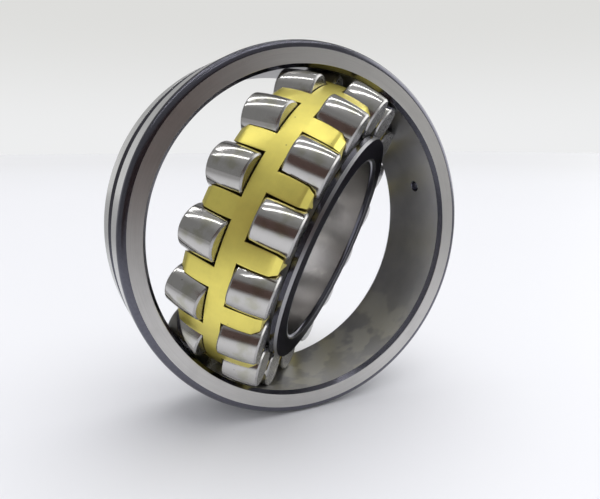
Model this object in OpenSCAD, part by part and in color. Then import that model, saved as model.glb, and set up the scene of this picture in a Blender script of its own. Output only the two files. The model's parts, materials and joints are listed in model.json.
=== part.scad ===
// Double-row spherical roller bearing with a one-piece machined cage.
// The outer ring's axis lies along Y and the ring stands on its rim. The origin is
// the centre of the raceway sphere, about which the inner group swings.

/* [Boundary sizes] */
// Outside diameter of the outer ring
outside_d = 85; // [84.6:0.1:88]
// Bore diameter of the inner ring
bore_d = 45; // [42:0.5:46]
// Width of both rings
width = 23; // [23:0.1:25]

/* [Outer ring] */
// Diameter of the spherical raceway
sphere_d = 76.7; // [76.6:0.05:77]
// Radius of the rounded outside corners
corner_r = 1.7; // [0.8:0.1:2.4]
// Axial length of the chamfer between face and raceway
race_edge = 1.2; // [0.6:0.1:1.4]
// Extra radius that chamfer gains at the face
race_edge_rise = 0.7; // [0.3:0.1:0.9]
// Width of the lubrication groove at the rim
groove_w = 5.2; // [4:0.1:6]
// Depth of the lubrication groove
groove_depth = 0.9; // [0.5:0.1:1.4]
// Diameter of each lubrication hole
oil_hole_d = 2.5; // [1.5:0.1:3]
// Number of lubrication holes
oil_holes = 3; // [1:1:6]
// Place of the first lubrication hole round the ring, from +X towards +Z
oil_hole_at = 15; // [0:1:90]

/* [Rollers] */
// Rollers in each row
per_row = 16; // [12:1:16]
// Largest diameter of a barrel roller
roller_d = 9.9; // [9.6:0.05:9.95]
// Length of a roller
roller_l = 8.4; // [8:0.05:8.5]
// Contact angle of each row
contact_angle = 10.3; // [10.2:0.05:10.6]
// Chamfer on the ends of a roller
roller_chamfer = 0.35; // [0.2:0.05:0.5]

/* [Inner ring] */
// Diameter over the retaining lips
lip_d = 56.8; // [56:0.1:57.6]
// Axial length of the bevel on each lip's outer edge
lip_bevel = 0.7; // [0.3:0.1:1]
// Radius of the rounded bore corners
bore_corner = 1.1; // [0.6:0.1:1.6]
// Diameter of the land between the two raceways
land_d = 57.8; // [57.6:0.05:57.9]

/* [Guide ring] */
// Outside diameter of the loose guide ring
guide_d = 63; // [62:0.1:63.4]

/* [Cage] */
// Diameter of the sphere that the outside of the cage is turned to
cage_d = 71.8; // [71:0.1:72.6]
// Distance from mid-width to the end of a prong
prong_reach = 9.5; // [9:0.1:9.8]
// Axial and radial size of the bevel on a prong's tip
prong_bevel = 1.2; // [0.4:0.1:1.6]
// Corner radius of a prong's tip
prong_round = 1.2; // [0.8:0.1:1.3]

/* [Fits] */
// Gap between a roller and each raceway
race_gap = 0.03; // [0.02:0.01:0.05]
// Gap between a roller's side and its pocket
pocket_gap = 0.2; // [0.1:0.05:0.25]
// Gap between a roller's inner end and the floor of its pocket
pocket_end_gap = 0.2; // [0.1:0.05:0.3]
// Gap between a roller's outer end and the retaining lip
lip_gap = 0.3; // [0.2:0.05:0.4]
// Running gap of the guide ring on the inner ring and in the cage
guide_gap = 0.05; // [0.03:0.01:0.08]

/* [Pose] */
// Angle by which the inner group is swung out of line
swing = 48.8; // [0:0.1:90]
// Lean of the swivel axis from +Z towards +X
swivel_lean = 28.6; // [-90:0.1:90]
// Place of the first front roller round the inner group
roller_start = 20.4; // [0:0.1:22.5]

/* [Hidden] */
$fn = 96;
steel = "#8d8d8f";
polished = "#c4c6ca";
brass = "#c9b254";
front = 1;
rear = -1;
row_pitch = 360 / per_row;
sphere_r = sphere_d / 2;
outside_r = outside_d / 2;
half_w = width / 2;
eps = 0.01;
// Distance from the origin to the middle of a roller
centre_r = sphere_r - race_gap - roller_d / 2;
pocket_r = roller_d / 2 + pocket_gap;
// Half the width of the cylindrical band round the middle of the cage, outside and inside
band_half = 2.3;
bore_half = 2.2;
// How far below a roller's middle the rounding of the prong tips reaches
flare_in = 2.5;
// The barrel's outline and the inner raceway, each a little off the sphere's radius
barrel_r = sphere_r - 1;
inner_race_r = sphere_r + 0.5;
relief_r = 0.25;
guide_side_gap = 0.1;

function front_name(i) = str("roller_front_", i < 9 ? "0" : "", i + 1);
function rear_name(i) = str("roller_rear_", i < 9 ? "0" : "", i + 1);

// ---------- placing ----------

// Turns a ring built about Z so that its axis lies along Y, its top towards -Y
module along_y() {
    rotate([90, 0, 0]) children();
}

// Swings something built about Z into the inner group's rest pose
module inner_group() {
    rotate([0, swivel_lean, 0]) rotate([0, 0, swing]) rotate([0, -swivel_lean, 0])
        along_y() children();
}

// Places something built about Z on roller i of a row, +Z along its outward axis,
// +X away from the inner ring
module roller_place(row, i) {
    turn = roller_start + (i + (row == front ? 0 : 0.5)) * row_pitch;
    rotate([0, 0, turn]) mirror([0, 0, row == front ? 0 : 1])
        rotate([0, -contact_angle, 0]) translate([centre_r, 0, 0]) children();
}

// The sectional plane of a row: X is the radius, Y the distance from mid-width
module row_plane() {
    rotate([0, 0, contact_angle]) translate([centre_r, 0]) children();
}

// A square corner less its inscribed round, for rounding an outside edge
module corner_waste(r) {
    difference() {
        square([r + 1, r + 1]);
        circle(r);
    }
}

// ---------- outer ring ----------

module outer_section() {
    difference() {
        translate([sphere_r - 3, -half_w]) square([outside_r - sphere_r + 3, width]);
        circle(sphere_r, $fn = 180);
        for (side = [0, 1]) mirror([0, side]) {
            translate([outside_r - corner_r, half_w - corner_r]) corner_waste(corner_r);
            race_edge_cut();
        }
        groove_cut();
    }
}

// Chamfer from the raceway's edge out to the face
module race_edge_cut() {
    edge_h = half_w - race_edge;
    edge_r = sqrt(pow(sphere_r, 2) - pow(edge_h, 2));
    polygon([
        [edge_r - 2, edge_h],
        [edge_r, edge_h],
        [edge_r + race_edge_rise, half_w],
        [edge_r + race_edge_rise, half_w + 1],
        [edge_r - 2, half_w + 1]
    ]);
}

module groove_cut() {
    top = groove_w / 2;
    floor = top - groove_depth * tan(35);
    polygon([
        [outside_r + eps, -top],
        [outside_r + eps, top],
        [outside_r - groove_depth, floor],
        [outside_r - groove_depth, -floor]
    ]);
}

module outer_ring() {
    color(steel) difference() {
        along_y() rotate_extrude() outer_section();
        for (i = [0 : oil_holes - 1])
            rotate([0, -oil_hole_at - i * 360 / oil_holes, 0])
                translate([sphere_r - 3, 0, 0]) rotate([0, 90, 0])
                    cylinder(h = outside_r - sphere_r + 6, d = oil_hole_d);
    }
}

// ---------- inner ring ----------

module inner_section() {
    lip_r = lip_d / 2;
    difference() {
        translate([bore_d / 2, -half_w]) square([lip_r - bore_d / 2 + 1, width]);
        for (side = [0, 1]) mirror([0, side]) {
            row_plane() raceway_cut();
            translate([lip_r, half_w - 3]) square([2, 4]);
            translate([bore_d / 2 + bore_corner, half_w - bore_corner])
                mirror([1, 0]) corner_waste(bore_corner);
            lip_bevel_cut(lip_r);
        }
        translate([land_d / 2, -4]) square([3, 8]);
    }
}

// Room for a row of rollers over the inner ring, with a small relief by the lip
module raceway_cut() {
    bottom = -roller_d / 2 - race_gap;
    lip_side = roller_l / 2 + lip_gap;
    floor_at_lip = bottom + inner_race_r - sqrt(pow(inner_race_r, 2) - pow(lip_side, 2));
    intersection() {
        translate([bottom + inner_race_r, 0]) circle(inner_race_r, $fn = 180);
        translate([bottom - 1, -roller_l]) square([roller_d, roller_l + lip_side]);
    }
    translate([floor_at_lip, lip_side - relief_r]) circle(relief_r, $fn = 24);
}

module lip_bevel_cut(lip_r) {
    polygon([
        [lip_r + eps, half_w - lip_bevel],
        [lip_r + eps, half_w + eps],
        [lip_r - lip_bevel * 0.4, half_w + eps],
        [lip_r - lip_bevel * 0.4 + eps, half_w]
    ]);
}

module inner_ring() {
    color(steel) inner_group() rotate_extrude() inner_section();
}

// ---------- guide ring ----------

// Half the width between the rollers' inner ends at radius r
function half_space(r) =
    (r * sin(contact_angle) - roller_l / 2) / cos(contact_angle);

module guide_section() {
    low = land_d / 2 + guide_gap;
    high = guide_d / 2;
    low_half = half_space(low) - guide_side_gap;
    high_half = half_space(high) - guide_side_gap;
    polygon([
        [low, -low_half],
        [high, -high_half],
        [high, high_half],
        [low, low_half]
    ]);
}

module guide_ring() {
    color(steel) inner_group() rotate_extrude() guide_section();
}

// ---------- cage ----------

// The cage before its pockets are cut: a plain band with spherical prongs both sides
module cage_blank() {
    bore_r = guide_d / 2 + guide_gap;
    tip_in = bore_r - (prong_reach - bore_half) * tan(contact_angle);
    tip_out = sqrt(pow(cage_d / 2, 2) - pow(prong_reach - prong_bevel, 2)) - prong_bevel;
    past = cage_d / 2 + 1;
    past_h = prong_reach - (past - tip_out);
    band_r = sqrt(pow(cage_d / 2, 2) - pow(band_half, 2));
    difference() {
        intersection() {
            circle(cage_d / 2, $fn = 180);
            polygon([
                [bore_r, -bore_half],
                [tip_in, -prong_reach],
                [tip_out, -prong_reach],
                [past, -past_h],
                [past, past_h],
                [tip_out, prong_reach],
                [tip_in, prong_reach],
                [bore_r, bore_half]
            ]);
        }
        translate([band_r, -band_half]) square([1, 2 * band_half]);
    }
}

// One pocket: the roller's own shape with its gaps, open past the prongs' tips
module pocket() {
    floor = -roller_l / 2 - pocket_end_gap;
    translate([0, 0, floor]) cylinder(h = 2 * roller_l, r = pocket_r);
    translate([-flare_in, 0, 0]) rotate([90, 0, 90])
        linear_extrude(flare_in + pocket_r) tip_flare();
}

// Widens the pocket between two prong tips, so that each tip has a rounded corner
module tip_flare() {
    tip = prong_reach / cos(contact_angle) - centre_r * tan(contact_angle);
    round_at = sqrt(pow(pocket_r, 2) - pow(cage_d / 2 - centre_r, 2)) + prong_round;
    difference() {
        translate([-round_at, tip - prong_round]) square([2 * round_at, 4]);
        for (side = [-1, 1])
            translate([side * round_at, tip - prong_round]) circle(prong_round);
    }
}

module cage() {
    color(brass) inner_group() difference() {
        rotate_extrude() cage_blank();
        for (row = [front, rear], i = [0 : per_row - 1])
            roller_place(row, i) pocket();
    }
}

// ---------- rollers ----------

module roller_section() {
    end_r = roller_d / 2 - barrel_r + sqrt(pow(barrel_r, 2) - pow(roller_l / 2, 2));
    difference() {
        intersection() {
            translate([roller_d / 2 - barrel_r, 0]) circle(barrel_r, $fn = 180);
            translate([0, -roller_l / 2]) square([roller_d, roller_l]);
        }
        for (side = [0, 1]) mirror([0, side]) polygon([
            [end_r - roller_chamfer, roller_l / 2 + eps],
            [end_r - roller_chamfer, roller_l / 2],
            [end_r + eps, roller_l / 2 - roller_chamfer],
            [end_r + 1, roller_l / 2 - roller_chamfer],
            [end_r + 1, roller_l / 2 + eps]
        ]);
    }
}

module roller(row, i) {
    color(polished) inner_group() roller_place(row, i) rotate_extrude() roller_section();
}

outer_ring();
inner_ring();
guide_ring();
cage();
for (i = [0 : per_row - 1]) {
    roller(front, i);
    roller(rear, i);
}
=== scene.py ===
"""Looks of a double-row spherical roller bearing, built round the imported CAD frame."""

import json
import math

import bmesh
import bpy
from mathutils import Matrix, Vector


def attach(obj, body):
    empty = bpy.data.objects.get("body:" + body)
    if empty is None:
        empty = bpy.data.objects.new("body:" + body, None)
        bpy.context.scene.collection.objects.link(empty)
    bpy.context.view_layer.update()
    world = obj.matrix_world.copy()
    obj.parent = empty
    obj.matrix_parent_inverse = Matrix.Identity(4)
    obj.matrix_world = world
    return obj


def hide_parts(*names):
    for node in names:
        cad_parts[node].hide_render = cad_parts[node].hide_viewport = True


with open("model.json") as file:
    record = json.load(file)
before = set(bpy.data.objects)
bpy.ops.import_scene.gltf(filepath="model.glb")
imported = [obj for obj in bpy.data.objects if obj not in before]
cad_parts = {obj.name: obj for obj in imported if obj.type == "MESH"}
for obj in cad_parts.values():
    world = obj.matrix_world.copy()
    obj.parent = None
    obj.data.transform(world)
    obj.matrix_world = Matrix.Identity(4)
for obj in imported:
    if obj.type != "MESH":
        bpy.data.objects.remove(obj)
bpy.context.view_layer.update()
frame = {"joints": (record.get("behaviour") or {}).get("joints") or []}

MM = 0.001
JOINTS = {j["name"]: j for j in frame["joints"]}

# ---------- sizes, in millimetres, the same as the CAD part's ----------

WIDTH = 23
HALF_W = WIDTH / 2
OUTSIDE_R = 42.5
GROOVE_R = OUTSIDE_R - 0.9
BORE_R = 22.5
SPHERE_R = 38.35
PER_ROW = 16
PITCH = 2 * math.pi / PER_ROW
CONTACT = math.radians(10.3)
ROLLER_R = 4.95
ROLLER_HALF = 4.2
ROLLER_CHAMFER = 0.35
BARREL_R = SPHERE_R - 1
INNER_RACE_R = SPHERE_R + 0.5
RACE_GAP = 0.03
POCKET_GAP = 0.2
LIP_GAP = 0.3
GUIDE_GAP = 0.05
CENTRE_R = SPHERE_R - RACE_GAP - ROLLER_R
LIP_R = 28.4
LAND_R = 28.9
GUIDE_R = 31.5
CAGE_R = 35.9
POCKET_R = ROLLER_R + POCKET_GAP
POCKET_FLOOR = ROLLER_HALF + POCKET_GAP
PRONG_REACH = 9.5
PRONG_BEVEL = 1.2
PRONG_ROUND = 1.2
OIL_HOLE_R = 1.25
OIL_HOLES = 3
OIL_HOLE_AT = math.radians(15)


# ---------- frames of the turned pieces ----------

def placed(origin, axis, towards):
    """The matrix that puts local Z along axis and local X as near to towards as it goes."""
    z = Vector(axis).normalized()
    x = Vector(towards)
    x = (x - x.dot(z) * z).normalized()
    turn = Matrix((x, z.cross(x), z)).transposed().to_4x4()
    return Matrix.Translation(Vector(origin)) @ turn


OUTER_FRAME = placed((0, 0, 0), (0, -1, 0), (1, 0, 0))
FIRST_ROLLER = JOINTS["roller_front_01_spin"]["pos_m"]
GROUP_FRAME = placed((0, 0, 0), JOINTS["inner_spin"]["axis"], FIRST_ROLLER)


# ---------- outlines ----------

def arc(centre, radius, start, end, steps):
    """Points along an arc, angles in degrees."""
    turns = [math.radians(start + (end - start) * k / steps) for k in range(steps + 1)]
    return [(centre[0] + radius * math.cos(t), centre[1] + radius * math.sin(t)) for t in turns]


def eased(corners, steps=4):
    """A closed outline from (radius, height, edge rounding, zone) corners. Each corner becomes an
    arc, and each returned point carries the zone of the stretch that starts there."""
    points = []
    for k, (r, h, ease, zone) in enumerate(corners):
        here = Vector((r, h))
        before = Vector(corners[k - 1][:2]) - here
        after = Vector(corners[(k + 1) % len(corners)][:2]) - here
        if not ease:
            points.append((r, h, zone))
            continue
        half = before.angle(after) / 2
        back = ease / math.tan(half)
        first = here + before.normalized() * back
        last = here + after.normalized() * back
        centre = here + (before.normalized() + after.normalized()).normalized() * ease / math.sin(half)
        for step in range(steps + 1):
            along = (first - centre).lerp(last - centre, step / steps).normalized()
            spot = centre + along * ease
            points.append((spot.x, spot.y, zone))
    return points


def smooth_arc(points, zone):
    """Arc points as corners with no rounding of their own."""
    return [(r, h, 0, zone) for r, h in points]


# ---------- meshes ----------

SHARP_ANGLE = math.radians(38)


def new_piece(name, mesh, body, node, axes):
    """Makes the object, stores its own turned coordinates for the materials and joins it to its body."""
    own = mesh.attributes.new("turned", "FLOAT_VECTOR", "POINT")
    inverse = axes.inverted()
    for vertex in mesh.vertices:
        own.data[vertex.index].vector = inverse @ vertex.co / MM
    for face in mesh.polygons:
        face.use_smooth = True
    mesh.set_sharp_from_angle(angle=SHARP_ANGLE)
    piece = bpy.data.objects.new(name, mesh)
    bpy.context.scene.collection.objects.link(piece)
    normals = piece.modifiers.new("even_normals", "WEIGHTED_NORMAL")
    normals.mode = "FACE_AREA"
    normals.keep_sharp = True
    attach(piece, body)
    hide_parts(node)
    return piece


def solid(name, verts, faces, zones, materials):
    """A closed mesh from faces that each carry a zone, which is the number of their material."""
    mesh = bpy.data.meshes.new(name)
    mesh.from_pydata(verts, [], faces)
    for material in materials:
        mesh.materials.append(material)
    for face, zone in zip(mesh.polygons, zones):
        face.material_index = zone
    work = bmesh.new()
    work.from_mesh(mesh)
    bmesh.ops.remove_doubles(work, verts=work.verts, dist=0.001 * MM)
    bmesh.ops.recalc_face_normals(work, faces=work.faces)
    work.to_mesh(mesh)
    work.free()
    return mesh


def turned_point(axes, r, turn, h):
    """The place in metres of a point at a radius, an angle and a height in millimetres along axes."""
    return axes @ (Vector((r * math.cos(turn), r * math.sin(turn), h)) * MM)


def lathe(name, outline, steps, axes, materials):
    """A solid of revolution about the local Z of axes from a closed (radius, height, zone) outline."""
    count = len(outline)
    verts = []
    for k in range(steps):
        turn = 2 * math.pi * k / steps
        for r, h, _ in outline:
            verts.append(turned_point(axes, r, turn, h))
    faces = []
    zones = []
    for k in range(steps):
        here = k * count
        there = (k + 1) % steps * count
        for j in range(count):
            after = (j + 1) % count
            faces.append((here + j, here + after, there + after, there + j))
            zones.append(outline[j][2])
    return solid(name, verts, faces, zones, materials)


# ---------- materials ----------

class Nodes:
    """A short way to write the node tree of a material or a world."""

    def __init__(self, holder, shader, output):
        holder.use_nodes = True
        self.holder = holder
        self.tree = holder.node_tree
        self.tree.nodes.clear()
        self.shader = self.add(shader)
        self.link(self.shader.outputs[0], self.add(output).inputs["Surface"])

    def add(self, kind, **settings):
        node = self.tree.nodes.new(kind)
        for key, value in settings.items():
            setattr(node, key, value)
        return node

    def link(self, source, target):
        self.tree.links.new(source, target)

    def feed(self, target, value):
        """Puts a number, a colour or another node's output into an input."""
        if isinstance(value, bpy.types.NodeSocket):
            self.link(value, target)
        elif isinstance(value, tuple) and len(value) == 3 and target.type == "RGBA":
            target.default_value = (*value, 1)
        else:
            target.default_value = value

    def math(self, operation, *values):
        node = self.add("ShaderNodeMath", operation=operation)
        for socket, value in zip(node.inputs, values):
            self.feed(socket, value)
        return node.outputs[0]

    def between(self, value, low, high, to_low=0.0, to_high=1.0):
        """Goes smoothly from to_low to to_high as value goes from low to high."""
        node = self.add("ShaderNodeMapRange", interpolation_type="SMOOTHSTEP")
        for socket, given in zip(node.inputs, (value, low, high, to_low, to_high)):
            self.feed(socket, given)
        return node.outputs[0]

    def mix(self, share, first, second):
        node = self.add("ShaderNodeMix", data_type="RGBA")
        self.feed(node.inputs["Factor"], share)
        self.feed(node.inputs[6], first)
        self.feed(node.inputs[7], second)
        return node.outputs[2]

    def turned(self):
        """The piece's own coordinates in millimetres, with its turning axis along Z."""
        return self.add("ShaderNodeAttribute", attribute_name="turned").outputs["Vector"]

    def noise(self, vector, scale, detail=2.0, roughness=0.5):
        node = self.add("ShaderNodeTexNoise")
        self.link(vector, node.inputs["Vector"])
        node.inputs["Scale"].default_value = scale
        node.inputs["Detail"].default_value = detail
        node.inputs["Roughness"].default_value = roughness
        return node.outputs["Fac"]

    def round_marks(self, across, along):
        """Coordinates in which a noise becomes fine marks that run round the axis: across is how many
        marks fall in a millimetre and along how quickly each one changes on its way round."""
        parts = self.add("ShaderNodeSeparateXYZ")
        self.link(self.turned(), parts.inputs[0])
        x, y, z = parts.outputs
        squares = self.math("ADD", self.math("MULTIPLY", x, x), self.math("MULTIPLY", y, y))
        radius = self.math("SQRT", squares)
        safe = self.math("MAXIMUM", radius, 0.01)
        vector = self.add("ShaderNodeCombineXYZ")
        self.link(self.math("MULTIPLY", self.math("ADD", radius, z), across), vector.inputs[0])
        self.link(self.math("MULTIPLY", self.math("DIVIDE", x, safe), along), vector.inputs[1])
        self.link(self.math("MULTIPLY", self.math("DIVIDE", y, safe), along), vector.inputs[2])
        return vector.outputs[0]

    def specks(self, scale, size):
        """1 on small scattered spots and 0 between them."""
        cells = self.add("ShaderNodeTexVoronoi")
        self.link(self.turned(), cells.inputs["Vector"])
        cells.inputs["Scale"].default_value = scale
        return self.between(cells.outputs["Distance"], size, size * 0.6)

    def finish(self, colour, metallic, roughness, bump=None, strength=0.1, depth=0.01):
        self.feed(self.shader.inputs["Base Color"], colour)
        self.feed(self.shader.inputs["Metallic"], metallic)
        self.feed(self.shader.inputs["Roughness"], roughness)
        if bump is not None:
            node = self.add("ShaderNodeBump")
            node.inputs["Strength"].default_value = strength
            node.inputs["Distance"].default_value = depth * MM
            self.link(bump, node.inputs["Height"])
            self.link(node.outputs["Normal"], self.shader.inputs["Normal"])
        return self.holder


def new_material(name):
    return Nodes(bpy.data.materials.new(name), "ShaderNodeBsdfPrincipled", "ShaderNodeOutputMaterial")


def ground_steel(name, tone, roughness, marks, depth=0.002, edge=1.0):
    """Ground ring steel: fine marks round the axis and faint handling smudges. edge is how much of
    the usual brightening at a grazing angle is left."""
    n = new_material(name)
    lines = n.noise(n.round_marks(marks, 3.0), 1.0, 4.0, 0.7)
    smudge = n.noise(n.turned(), 0.16, 3.0, 0.55)
    colour = n.mix(lines, tuple(c * 0.82 for c in tone), tuple(min(1, c * 1.16) for c in tone))
    colour = n.mix(n.between(smudge, 0.45, 0.75, 0.0, 0.35), colour, tuple(c * 0.8 for c in tone))
    rough = n.math("ADD", n.math("MULTIPLY", smudge, 0.12), roughness - 0.06)
    n.feed(n.shader.inputs["Specular Tint"], (edge, edge, edge))
    return n.finish(colour, 1.0, rough, lines, 0.25, depth)


def dark_corner():
    """Heat-darkened steel that grinding didn't reach: blue-black, glossy, a little mottled."""
    n = new_material("darkened_steel")
    mottle = n.noise(n.turned(), 1.6, 4.0, 0.6)
    colour = n.mix(mottle, (0.10, 0.10, 0.125), (0.17, 0.17, 0.20))
    rough = n.math("ADD", n.math("MULTIPLY", mottle, 0.06), 0.17)
    return n.finish(colour, 1.0, rough, mottle, 0.03, 0.001)


def oiled_raceway():
    """Superfinished raceway under a dull film, with faint marks and broken oil that pools low down."""
    n = new_material("superfinished_raceway")
    lines = n.noise(n.round_marks(9.0, 2.0), 1.0, 3.0, 0.6)
    film = n.noise(n.turned(), 0.12, 3.0, 0.45)
    parts = n.add("ShaderNodeSeparateXYZ")
    n.link(n.turned(), parts.inputs[0])
    upward = parts.outputs[1]
    patch = n.math("MULTIPLY", n.between(film, 0.46, 0.55), n.between(upward, -14.0, -30.0))
    streaks = n.noise(n.round_marks(0.25, 9.0), 1.0, 3.0, 0.5)
    steel = n.mix(streaks, (0.40, 0.40, 0.41), (0.54, 0.535, 0.53))
    colour = n.mix(n.math("MULTIPLY", patch, 0.75), steel, (0.72, 0.71, 0.65))
    rough = n.math("ADD", n.math("MULTIPLY", streaks, 0.1), n.between(patch, 0.0, 1.0, 0.32, 0.38))
    return n.finish(colour, 0.86, rough, lines, 0.1, 0.002)


def roller_steel():
    """Bright superfinished rollers with faint round marks, dull oil and a few dark specks."""
    n = new_material("superfinished_roller")
    lines = n.noise(n.round_marks(12.0, 2.0), 1.0, 4.0, 0.65)
    oil = n.noise(n.turned(), 0.35, 3.0, 0.5)
    steel = n.mix(lines, (0.52, 0.51, 0.495), (0.61, 0.60, 0.585))
    colour = n.mix(n.between(oil, 0.48, 0.72, 0.0, 0.5), steel, (0.39, 0.385, 0.27))
    colour = n.mix(n.specks(0.28, 0.055), colour, (0.08, 0.07, 0.06))
    rough = n.math("ADD", n.math("MULTIPLY", oil, 0.05), 0.1)
    return n.finish(colour, 1.0, rough, lines, 0.015, 0.0005)


def roller_end_steel():
    """Roller ends, ground flat, with rings from the grinding wheel."""
    n = new_material("roller_end")
    lines = n.noise(n.round_marks(7.0, 1.0), 1.0, 3.0, 0.6)
    colour = n.mix(lines, (0.42, 0.415, 0.41), (0.46, 0.455, 0.45))
    return n.finish(colour, 1.0, n.between(lines, 0.3, 0.7, 0.26, 0.28), lines, 0.02, 0.001)


def cage_brass(name, tone, roughness):
    """Machined brass, satin and pale, with turning marks, cloudy colour and small dark marks."""
    n = new_material(name)
    lines = n.noise(n.round_marks(6.0, 4.0), 1.0, 4.0, 0.7)
    cloud = n.noise(n.turned(), 0.22, 4.0, 0.6)
    metal = n.mix(lines, tuple(c * 0.93 for c in tone), tone)
    colour = n.mix(n.between(cloud, 0.35, 0.7), metal, tuple(c * 0.88 for c in tone))
    colour = n.mix(n.math("MULTIPLY", n.specks(0.33, 0.06), 0.6), colour, (0.12, 0.08, 0.03))
    rough = n.math("ADD", n.math("MULTIPLY", cloud, 0.1), roughness)
    return n.finish(colour, 0.8, rough, lines, 0.25, 0.003)


face_steel = ground_steel("ground_face", (0.57, 0.56, 0.545), 0.30, 5.0, 0.003)
rim_steel = ground_steel("ground_rim", (0.62, 0.62, 0.61), 0.24, 12.0, 0.0005)
dark_steel = dark_corner()
race_steel = oiled_raceway()
# Painted shade: the inner ring's face is the same ground steel as the outer ring's, drawn near black to
# paint in the dark it mirrors, with its grazing brightening cut back.
inner_face_painted_shade = ground_steel("inner_ring_face_painted_dark", (0.07, 0.068, 0.082), 0.34, 5.0, edge=0.3)
# Partly painted light: the bore is ground steel with fine marks, drawn paler than the rings' steel to paint
# in a bright sheen.
bore_painted_sheen = ground_steel("ground_bore_painted_sheen", (0.80, 0.785, 0.77), 0.17, 10.0, 0.001)
guide_steel = ground_steel("turned_guide_ring", (0.36, 0.36, 0.37), 0.34, 7.0)
barrel_steel = roller_steel()
end_steel = roller_end_steel()
brass = cage_brass("turned_brass", (0.94, 0.82, 0.195), 0.28)
# Partly painted shade: the pockets are milled and rougher, and their much darker tone paints in the shade
# between the cage and the rollers.
milled_brass_painted_shade = cage_brass("milled_brass_painted_shade", (0.40, 0.31, 0.08), 0.40)


# ---------- outer ring ----------

def outer_outline():
    """Zones: 0 ground face, 1 ground rim, 2 darkened corners and chamfers, 3 raceway."""
    corner, edge, rise, slope = 1.7, 1.2, 0.7, 0.63
    groove_half = 2.6
    edge_h = HALF_W - edge
    edge_angle = math.degrees(math.asin(edge_h / SPHERE_R))
    edge_r = SPHERE_R * math.cos(math.radians(edge_angle))
    centre = (OUTSIDE_R - corner, HALF_W - corner)
    top = [(edge_r, edge_h, 0.1, 2), (edge_r + rise, HALF_W, 0.12, 0)]
    top += smooth_arc(arc(centre, corner, 90, 0, 14), 2)[:-1]
    top += [(OUTSIDE_R, centre[1], 0, 1)]
    top += [(OUTSIDE_R, groove_half, 0.12, 2), (GROOVE_R, groove_half - slope, 0.25, 2)]
    low = [(r, -h, ease) for r, h, ease, _ in reversed(top)]
    zones = [zone for _, _, _, zone in reversed(top)][1:] + [3]
    bottom = [(*corner_point, zone) for corner_point, zone in zip(low, zones)]
    race = smooth_arc(arc((0, 0), SPHERE_R, -edge_angle, edge_angle, 40)[1:-1], 3)
    return eased(race + top + bottom)


def drilled(mesh, materials):
    """Cuts the lubrication holes, each with a small countersink into the groove and the raceway."""
    ring = bpy.data.objects.new("uncut_ring", mesh)
    bpy.context.scene.collection.objects.link(ring)
    lead, past, dark = 0.18, 2, 2
    wide_r = OIL_HOLE_R + past + lead
    start, end = SPHERE_R - past, GROOVE_R + past
    outline = [(0, start, dark), (wide_r, start, dark), (OIL_HOLE_R, SPHERE_R + lead, dark),
               (OIL_HOLE_R, GROOVE_R - lead, dark), (wide_r, end, dark), (0, end, dark)]
    cutters = []
    for k in range(OIL_HOLES):
        turn = OIL_HOLE_AT + k * 2 * math.pi / OIL_HOLES
        way = Vector((math.cos(turn), 0, math.sin(turn)))
        axes = placed((0, 0, 0), way, (0, 1, 0))
        cutter = bpy.data.objects.new("cutter", lathe("cutter", outline, 48, axes, materials))
        bpy.context.scene.collection.objects.link(cutter)
        cut = ring.modifiers.new("hole", "BOOLEAN")
        cut.operation = "DIFFERENCE"
        cut.solver = "EXACT"
        cut.object = cutter
        cutters.append(cutter)
    bpy.context.view_layer.update()
    result = bpy.data.meshes.new_from_object(ring.evaluated_get(bpy.context.evaluated_depsgraph_get()))
    for spare in [ring, *cutters]:
        bpy.data.objects.remove(spare)
    return result


OUTER_STEELS = [face_steel, rim_steel, dark_steel, race_steel]
whole_ring = lathe("outer_ring_skin", outer_outline(), 288, OUTER_FRAME, OUTER_STEELS)
new_piece("outer_ring_turned", drilled(whole_ring, OUTER_STEELS), "outer_ring", "outer_ring",
          OUTER_FRAME)


# ---------- inner ring ----------

def in_row(x, y):
    """A point of the front row's sectional plane, x off the roller's axis and y along it, as (r, h)."""
    r = (CENTRE_R + x) * math.cos(CONTACT) - y * math.sin(CONTACT)
    h = (CENTRE_R + x) * math.sin(CONTACT) + y * math.cos(CONTACT)
    return r, h


def inner_outline():
    """Zones: 0 face, 1 bore, 2 darkened corners, 3 raceways and lips, 4 the lips' bevels."""
    corner, bevel = 1.1, 0.7
    lip_side = ROLLER_HALF + LIP_GAP
    bottom = -ROLLER_R - RACE_GAP
    centre = (BORE_R + corner, HALF_W - corner)
    sweep = math.degrees(math.asin(lip_side / INNER_RACE_R))
    race = arc((bottom + INNER_RACE_R, 0), INNER_RACE_R, 180 + sweep, 180 - sweep, 30)
    race = [in_row(x, y) for x, y in race]
    race = [(r, h) for r, h in race if r < LAND_R]
    wall_low = race[-1]
    wall_top = in_row(LIP_R - wall_low[0] + bottom, lip_side)
    half = smooth_arc(race[:-1], 3) + [(*wall_low, 0.2, 3), (LIP_R, wall_top[1], 0.12, 2)]
    half += [(LIP_R, HALF_W - bevel, 0.08, 4), (LIP_R - 0.4 * bevel, HALF_W, 0.08, 0)]
    half += smooth_arc(arc(centre, corner, 90, 180, 10), 2)[:-1] + [(BORE_R, centre[1], 0, 1)]
    other = [(r, -h, ease) for r, h, ease, _ in reversed(half)]
    zones = [zone for _, _, _, zone in reversed(half)][1:] + [3]
    return eased(half + [(*spot, zone) for spot, zone in zip(other, zones)])


inner_mesh = lathe("inner_ring_skin", inner_outline(), 256, GROUP_FRAME,
                   [inner_face_painted_shade, bore_painted_sheen, dark_steel, race_steel, guide_steel])
new_piece("inner_ring_turned", inner_mesh, "inner_ring", "inner_ring", GROUP_FRAME)


# ---------- guide ring ----------

def half_space(r):
    """Half the width between the two rows' inner ends at radius r."""
    return (r * math.sin(CONTACT) - ROLLER_HALF) / math.cos(CONTACT)


def guide_outline():
    low, play, ease = LAND_R + GUIDE_GAP, 0.1, 0.12
    corners = [(low, -1), (GUIDE_R, -1), (GUIDE_R, 1), (low, 1)]
    return eased([(r, side * (half_space(r) - play), ease, 0) for r, side in corners])


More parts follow.
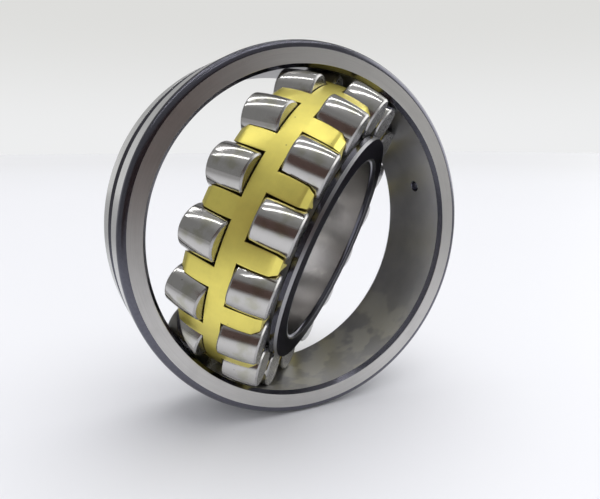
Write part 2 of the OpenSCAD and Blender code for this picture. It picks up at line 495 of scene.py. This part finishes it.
guide_mesh = lathe("guide_ring_skin", guide_outline(), 192, GROUP_FRAME, [guide_steel])
new_piece("guide_ring_turned", guide_mesh, "guide_ring", "guide_ring", GROUP_FRAME)


# ---------- cage ----------

CAGE_EASE = 0.07
CAGE_BORE_R = GUIDE_R + GUIDE_GAP
CAGE_BORE_HALF = 2.2
CAGE_BAND_HALF = 2.3
CAGE_BAND_R = math.sqrt(CAGE_R ** 2 - CAGE_BAND_HALF ** 2)
PRONG_TIP_R = math.sqrt(CAGE_R ** 2 - (PRONG_REACH - PRONG_BEVEL) ** 2) - PRONG_BEVEL
HALF_PITCH = PITCH / 2
EASE_DEPTHS = [CAGE_EASE * (1 - math.cos(math.radians(t))) for t in (0, 30, 60, 90)]
ROUNDS = 12  # repeats after which an estimate has settled


def cage_inside(h):
    """Radius of the cage's inner side at height h: a plain bore, then a cone."""
    return CAGE_BORE_R - max(0, h - CAGE_BORE_HALF) * math.tan(CONTACT)


def cage_outside(h):
    """Radius of the cage's outer side at height h: a plain band, then a sphere and the tip's bevel."""
    return min(math.sqrt(CAGE_R ** 2 - max(h, CAGE_BAND_HALF) ** 2), PRONG_TIP_R + PRONG_REACH - h)


def spread(length, count=6):
    """Distances along a length, close together in the eased edge at each end."""
    plain = [CAGE_EASE + (length - 2 * CAGE_EASE) * k / count for k in range(1, count)]
    return EASE_DEPTHS + plain + [length - d for d in reversed(EASE_DEPTHS)]


def set_back(depth):
    """How far a pocket's wall stands back at a small depth below its eased edge."""
    short = CAGE_EASE - min(depth, CAGE_EASE)
    return CAGE_EASE - math.sqrt(CAGE_EASE ** 2 - short ** 2)


def floor_height(r, turn, back):
    """Height of a pocket's floor at a radius and an angle from the pocket's middle."""
    return (r * math.cos(turn) * math.sin(CONTACT) - POCKET_FLOOR - back) / math.cos(CONTACT)


def pocket_side(r, h, back):
    """Angle from a pocket's middle to its side, which flares round the corner of the prong's tip."""
    wall = POCKET_R + back
    turn = wall / r
    for _ in range(ROUNDS):
        rise = r * math.cos(turn) * math.cos(CONTACT) + h * math.sin(CONTACT) - CENTRE_R
        turn = math.asin(math.sqrt(wall ** 2 - rise ** 2) / r)
    tip = PRONG_REACH / math.cos(CONTACT) - CENTRE_R * math.tan(CONTACT)
    round_at = math.sqrt(POCKET_R ** 2 - (CAGE_R - CENTRE_R) ** 2) + PRONG_ROUND
    over = h * math.cos(CONTACT) - r * math.cos(turn) * math.sin(CONTACT) - (tip - PRONG_ROUND)
    if over > 0:
        radius = PRONG_ROUND - back
        across = round_at - math.sqrt(radius ** 2 - min(over, radius) ** 2)
        turn = max(turn, math.asin(across / r))
    return turn


def pocket_corner(r, back):
    """Where a pocket's side meets its floor at a radius, as (radius, angle, height)."""
    h = 1.6  # a first guess
    for _ in range(ROUNDS):
        turn = pocket_side(r, h, back)
        h = floor_height(r, turn, back)
    return r, turn, h


def wall_grid():
    """Rows of (radius, angle, height) up a pocket's side, each from the cage's inside outward."""
    thickness = CAGE_BAND_R - CAGE_BORE_R
    rows = [[pocket_corner(CAGE_BORE_R + x, set_back(min(x, thickness - x))) for x in spread(thickness)]]
    plain_top = PRONG_REACH - PRONG_BEVEL
    heights = [CAGE_BAND_HALF + (plain_top - CAGE_BAND_HALF) * k / 7 for k in range(7)]
    heights += [plain_top + (PRONG_BEVEL - CAGE_EASE) * k / 6 for k in range(6)]
    heights += [PRONG_REACH - d for d in reversed(EASE_DEPTHS)]
    stretch = (PRONG_REACH - CAGE_BORE_HALF) / (PRONG_REACH - CAGE_BAND_HALF)
    for h in heights:
        low = PRONG_REACH - (PRONG_REACH - h) * stretch
        inside = Vector((cage_inside(low), low))
        outside = Vector((cage_outside(h), h))
        length = (outside - inside).length
        row = []
        for x in spread(length):
            spot = inside.lerp(outside, x / length)
            depth = min(x, length - x, PRONG_REACH - spot.y)
            row.append((spot.x, pocket_side(spot.x, spot.y, set_back(max(0, depth))), spot.y))
        rows.append(row)
    return rows


def across_prong(spot, count=5):
    """Points from a spot on a pocket's edge to the middle of the prong beside it."""
    r, turn, h = spot
    return [(r, turn + (HALF_PITCH - turn) * k / count, h) for k in range(count + 1)]


def across_floor(corner, back, count=6):
    """Points from the middle of a pocket's floor to its corner."""
    r, turn, _ = corner
    return [(r, turn * k / count, floor_height(r, turn * k / count, back)) for k in range(count)] + [corner]


def down_to_middle(edge, count=3):
    """Rows from a cell's edge down to mid-width, where the angles come out evenly spaced."""
    rows = []
    for q in range(count + 1):
        share = q / count
        row = []
        for k, (r, turn, h) in enumerate(edge):
            even = HALF_PITCH * k / (len(edge) - 1)
            row.append((r, turn + (even - turn) * share, h * (1 - share)))
        rows.append(row)
    return rows


def cage_cell():
    """Half a pocket and half a prong of the front row, as (grid, zone). Zone 0 is turned, 1 milled, in
    darker brass that paints the pockets' shade.
    """
    wall = wall_grid()
    thickness = CAGE_BAND_R - CAGE_BORE_R
    backs = [set_back(min(x, thickness - x)) for x in spread(thickness)]
    floor = [across_floor(corner, back) for corner, back in zip(wall[0], backs)]
    outer_skin = [across_prong(row[-1]) for row in wall]
    inner_skin = [across_prong(row[0]) for row in wall]
    tip_skin = [across_prong(spot) for spot in wall[-1]]
    band = down_to_middle(floor[-1] + outer_skin[0][1:])
    bore = down_to_middle(floor[0] + inner_skin[0][1:])
    return [(wall, 1), (floor, 1), (outer_skin, 0), (inner_skin, 0), (tip_skin, 0), (band, 0), (bore, 0)]


def cage_mesh():
    """The whole cage: the cell mirrored and repeated round both rows, the rear row half a pitch on."""
    verts = []
    faces = []
    zones = []
    copies = [(side, k, row) for side in (1, -1) for k in range(PER_ROW) for row in (1, -1)]
    for side, k, row in copies:
        start = PITCH * k + (0 if row > 0 else HALF_PITCH)
        for grid, zone in cage_cell():
            first = len(verts)
            width = len(grid[0])
            for line in grid:
                for r, turn, h in line:
                    verts.append(turned_point(GROUP_FRAME, r, start + side * turn, row * h))
            for i in range(len(grid) - 1):
                for j in range(width - 1):
                    here = first + i * width + j
                    faces.append((here, here + 1, here + width + 1, here + width))
                    zones.append(zone)
    return solid("cage_skin", verts, faces, zones, [brass, milled_brass_painted_shade])


new_piece("cage_machined", cage_mesh(), "cage", "cage", GROUP_FRAME)


# ---------- rollers ----------

def roller_outline():
    """Zones: 0 barrel, 1 ends."""
    flat = math.asin((ROLLER_HALF - ROLLER_CHAMFER) / BARREL_R)
    barrel = arc((ROLLER_R - BARREL_R, 0), BARREL_R, -math.degrees(flat), math.degrees(flat), 24)
    end_r = barrel[-1][0] - ROLLER_CHAMFER
    top = [(*barrel[-1], 0.15, 1), (end_r, ROLLER_HALF, 0.12, 1)]
    low = [(end_r, -ROLLER_HALF, 0.12, 1), (*barrel[0], 0.15, 0)]
    middle = [(0, ROLLER_HALF, 0, 1), (0, -ROLLER_HALF, 0, 1)]
    return eased(smooth_arc(barrel[1:-1], 0) + top + middle + low)


for row in ("front", "rear"):
    for k in range(PER_ROW):
        node = f"roller_{row}_{k + 1:02d}"
        joint = JOINTS[node + "_spin"]
        axes = placed(joint["pos_m"], joint["axis"], joint["pos_m"])
        roller_mesh = lathe(node + "_skin", roller_outline(), 96, axes, [barrel_steel, end_steel])
        new_piece(node + "_barrel", roller_mesh, node, node, axes)


# ---------- stage, lights and camera ----------

CAMERA_AT = (-0.0546, -0.1158, 0.0209)
CAMERA_AZIMUTH = 26.3
CAMERA_PITCH = -13.4
FLOOR_Z = -OUTSIDE_R * MM
PALE = (0.77, 0.775, 0.805)
# Painted shade: the tabletop's tone far away, and as metal mirrors it.
FAR_PALE_PAINTED_SHADE = (0.62, 0.622, 0.615)
MIRRORED_PAINTED_SHADE = (0.34, 0.34, 0.345)
TUBE_Z = 1.05
TUBE_WIDTH = 0.03


def make_floor():
    """A wide pale tabletop with painted shade: darker far away, as light falls off, and darker still where
    metal mirrors it, a painted dark reflection.
    """
    mesh = bpy.data.meshes.new("tabletop")
    work = bmesh.new()
    bmesh.ops.create_grid(work, x_segments=24, y_segments=24, size=4)
    bmesh.ops.translate(work, verts=work.verts, vec=(0, 0, FLOOR_Z))
    work.to_mesh(mesh)
    work.free()
    n = new_material("pale_tabletop")
    place = n.add("ShaderNodeTexCoord").outputs["Object"]
    distance = n.add("ShaderNodeVectorMath", operation="LENGTH")
    n.link(place, distance.inputs[0])
    away = distance.outputs["Value"]
    colour = n.mix(n.noise(place, 3.0, 2.0, 0.5), tuple(c * 0.98 for c in PALE), PALE)
    # Painted shade: the tabletop darkens with distance.
    colour = n.mix(n.between(away, 0.25, 2.0, 0.0, 0.4), colour, FAR_PALE_PAINTED_SHADE)
    # Painted dark reflection: reflections see the tabletop darker from a few centimetres out.
    mirrored = n.add("ShaderNodeLightPath").outputs["Is Glossy Ray"]
    mirrored_shade = n.math("MULTIPLY", mirrored, n.between(away, 0.04, 0.34))
    mesh.materials.append(n.finish(n.mix(mirrored_shade, colour, MIRRORED_PAINTED_SHADE), 0.0, 0.55))
    top = bpy.data.objects.new("tabletop", mesh)
    bpy.context.scene.collection.objects.link(top)


def faded(value, low, high):
    """0 below low, 1 above high, smooth between."""
    share = min(1, max(0, (value - low) / (high - low)))
    return share * share * (3 - 2 * share)


def card_mesh():
    """A curved upright sheet whose "shade" attribute falls to 0 at its edges."""
    radius, low, high, fade = 0.21, -0.042, 0.15, 0.07
    first, last, soft = 154, 250, 18
    steps, rows = 50, 16
    mesh = bpy.data.meshes.new("dark_reflection_card")
    verts = []
    shades = []
    for k in range(steps + 1):
        angle = first + (last - first) * k / steps
        side = faded(angle, first, first + soft) * faded(-angle, -last, -last + soft)
        for row in range(rows + 1):
            z = low + (high - low) * row / rows
            turn = math.radians(angle)
            verts.append((radius * math.sin(turn), radius * math.cos(turn), z))
            shades.append(side * faded(-z, -high, fade - high) * faded(z, low, 0))
    faces = []
    for k in range(steps):
        for row in range(rows):
            here = k * (rows + 1) + row
            faces.append((here, here + rows + 1, here + rows + 2, here + 1))
    mesh.from_pydata(verts, [], faces)
    strength = mesh.attributes.new("shade", "FLOAT", "POINT")
    strength.data.foreach_set("value", shades)
    return mesh


def make_dark_reflection_card():
    """A painted dark reflection: a curved dark sheet behind the camera that only reflections see, fading
    out at its edges.
    """
    mesh = card_mesh()
    n = new_material("dark_reflection_card")
    n.feed(n.shader.inputs["Alpha"], n.add("ShaderNodeAttribute", attribute_name="shade").outputs["Fac"])
    # Painted dark reflection: a dark brown that only glossy rays meet; the sheet casts no shadow and lights
    # nothing.
    mesh.materials.append(n.finish((0.105, 0.066, 0.056), 0.0, 0.9))
    card = bpy.data.objects.new("dark_reflection_card", mesh)
    bpy.context.scene.collection.objects.link(card)
    card.visible_camera = False
    card.visible_diffuse = False
    card.visible_shadow = False


def tube(name, x, y, turn, length, watts):
    """A thin lamp that faces straight down, its long side turned about Z. Only reflections see it."""
    light = bpy.data.lights.new(name, "AREA")
    light.shape = "RECTANGLE"
    light.size, light.size_y = length, TUBE_WIDTH
    light.energy = watts
    lamp = bpy.data.objects.new(name, light)
    lamp.location = (x, y, TUBE_Z)
    lamp.rotation_euler = (0, 0, math.radians(turn))
    lamp.visible_camera = False
    lamp.visible_diffuse = False
    bpy.context.scene.collection.objects.link(lamp)


def make_lights():
    light = bpy.data.lights.new("overcast", "SUN")
    light.energy = 1.75
    light.angle = math.radians(75)
    sun = bpy.data.objects.new("overcast", light)
    sun.rotation_euler = (math.radians(3), math.radians(12), 0)
    sun.visible_glossy = False
    bpy.context.scene.collection.objects.link(sun)
    tube("tube_far_left", 0.0, 0.47, 20, 1.1, 0.9)
    tube("tube_left", -0.57, 0.08, -13, 1.1, 1.0)
    tube("tube_right", 0.5, 0.15, 32, 1.15, 0.9)
    tube("tube_near_right", 0.15, -0.35, 22, 1.0, 0.9)


def make_world():
    """Room light: grey, pale low down on the far side, with a window at right. The camera sees a pale
    backdrop that meets the tabletop, and matt surfaces see even light."""
    wall, ceiling, far_wall = (0.27, 0.27, 0.27), (0.42, 0.42, 0.42), (0.78, 0.78, 0.78)
    near_wall, pane, even = (0.55, 0.55, 0.55), (2.1, 2.1, 2.07), (0.74, 0.74, 0.75)
    backdrop_low, backdrop_high = (0.85, 0.855, 0.86), (0.73, 0.73, 0.715)
    world = bpy.data.worlds.new("room")
    n = Nodes(world, "ShaderNodeBackground", "ShaderNodeOutputWorld")
    parts = n.add("ShaderNodeSeparateXYZ")
    n.link(n.add("ShaderNodeTexCoord").outputs["Generated"], parts.inputs[0])
    x, y, z = parts.outputs
    far = n.math("ADD", n.math("MULTIPLY", x, 0.5), y)
    low = n.between(z, 0.45, 0.0)
    room = n.mix(n.between(z, 0.65, 1.0), wall, ceiling)
    room = n.mix(n.math("MULTIPLY", low, n.between(far, -0.2, 0.6)), room, far_wall)
    front = n.math("SUBTRACT", n.math("MULTIPLY", x, 0.64), n.math("MULTIPLY", y, 0.77))
    room = n.mix(n.math("MULTIPLY", low, n.between(front, 0.8, 1.0)), room, near_wall)
    window = n.math("MULTIPLY", n.between(x, 0.6, 0.8), n.between(y, -0.7, -0.5))
    window = n.math("MULTIPLY", window, n.between(y, 0.6, 0.4))
    room = n.mix(window, room, pane)
    backdrop = n.mix(n.between(z, 0.0, 0.22), backdrop_low, backdrop_high)
    ray = n.add("ShaderNodeLightPath").outputs
    room = n.mix(ray["Is Diffuse Ray"], room, even)
    n.link(n.mix(ray["Is Camera Ray"], room, backdrop), n.shader.inputs["Color"])
    bpy.context.scene.world = world


def make_camera():
    data = bpy.data.cameras.new("camera")
    data.sensor_width = 36
    data.lens = 31.47
    data.shift_x, data.shift_y = -0.002, 0.034
    data.clip_start = 0.005
    camera = bpy.data.objects.new("camera", data)
    camera.location = CAMERA_AT
    camera.rotation_euler = (math.radians(90 + CAMERA_PITCH), 0, math.radians(-CAMERA_AZIMUTH))
    bpy.context.scene.collection.objects.link(camera)
    bpy.context.scene.camera = camera


make_floor()
make_dark_reflection_card()
make_lights()
make_world()
make_camera()
bpy.context.scene.view_settings.view_transform = "Standard"
